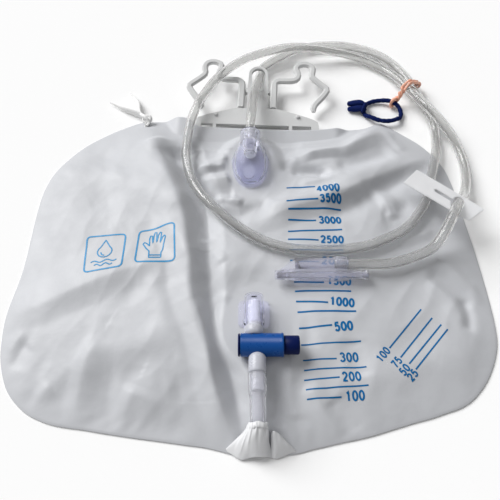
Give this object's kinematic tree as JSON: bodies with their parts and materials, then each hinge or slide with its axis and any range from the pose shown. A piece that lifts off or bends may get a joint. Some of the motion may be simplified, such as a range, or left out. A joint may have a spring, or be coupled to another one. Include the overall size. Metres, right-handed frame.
{
  "type": "urine drainage bag",
  "caption": "Flat urine drainage bag of welded film with hanger hooks, drip chamber, coiled inlet tube with slide clamp and connector, and a push-pull drain valve.",
  "frame": {"origin": "middle of the bag's footprint, without the inlet tube and the cords, on the surface the bag lies on", "axes": "+X to the bag's right as printed, +Y up the bag towards the hanger, +Z out of the printed front, up from the table"},
  "size_m": [0.3579, 0.3827, 0.0335],
  "materials": {
    "printed_film": "translucent satin film with blue print",
    "white_film": "satin white film",
    "hanger_white": "satin moulded plastic",
    "chamber_tint": "clear glossy plastic with a pale lilac tint",
    "clear_tube": "clear soft tube",
    "tap_clear": "clear glossy plastic with a blue tint",
    "navy_plastic": "satin navy",
    "grey_rubber": "matte",
    "navy_elastic": "matte braided elastic",
    "orange_rubber": "matte",
    "white_cord": "matte braided cord"
  },
  "bodies": {
    "bag": {"bag_front_film": "printed_film", "bag_back_film": "white_film", "hanger_plate": "hanger_white", "chamber_dome": "chamber_tint", "chamber_base": "chamber_tint", "inlet_tube": "clear_tube", "connector_body": "chamber_tint", "sampling_septum": "grey_rubber", "elastic_ring": "navy_elastic", "rubber_band": "orange_rubber", "hanging_cord": "white_cord", "outlet_tube": "clear_tube", "valve_body": "tap_clear", "nozzle_holder": "chamber_tint"},
    "left_hook": {"left_hook": "hanger_white"},
    "right_hook": {"right_hook": "hanger_white"},
    "plunger": {"valve_plunger": "navy_plastic", "plunger_seal_left": "grey_rubber", "plunger_seal_right": "grey_rubber"},
    "cap": {"connector_cap": "chamber_tint"},
    "clamp": {"slide_clamp": "hanger_white"},
    "flap": {"reflux_flap": "grey_rubber"}
  },
  "joints": [
    {"name": "right_hook_fold", "type": "hinge", "parent": "bag", "child": "right_hook", "pos_m": [0.02183, 0.1183, 0.00756], "axis": [-0.0433, -0.9916, -0.1219], "range_deg": [0, 90]},
    {"name": "left_hook_fold", "type": "hinge", "parent": "bag", "child": "left_hook", "pos_m": [-0.00695, 0.11956, 0.00756], "axis": [0.0433, 0.9916, 0.1219], "range_deg": [0, 90], "deforming": ["inlet_tube"]},
    {"name": "plunger_slide", "type": "slide", "parent": "bag", "child": "plunger", "axis": [-1, 0, 0], "range_m": [0, 0.0072]},
    {"name": "cap_pull", "type": "slide", "parent": "bag", "child": "cap", "axis": [-1, 0, 0], "range_m": [0, 0.025]},
    {"name": "clamp_pinch", "type": "slide", "parent": "bag", "child": "clamp", "axis": [0.7659, -0.6429, 0], "range_m": [0, 0.015], "deforming": ["inlet_tube"]},
    {"name": "flap_swing", "type": "hinge", "parent": "bag", "child": "flap", "pos_m": [0.0014, 0.0537, 0.0278], "axis": [-1, 0, 0], "range_deg": [0, 50], "stiffness_Nm_per_rad": 0.0002}
  ]
}
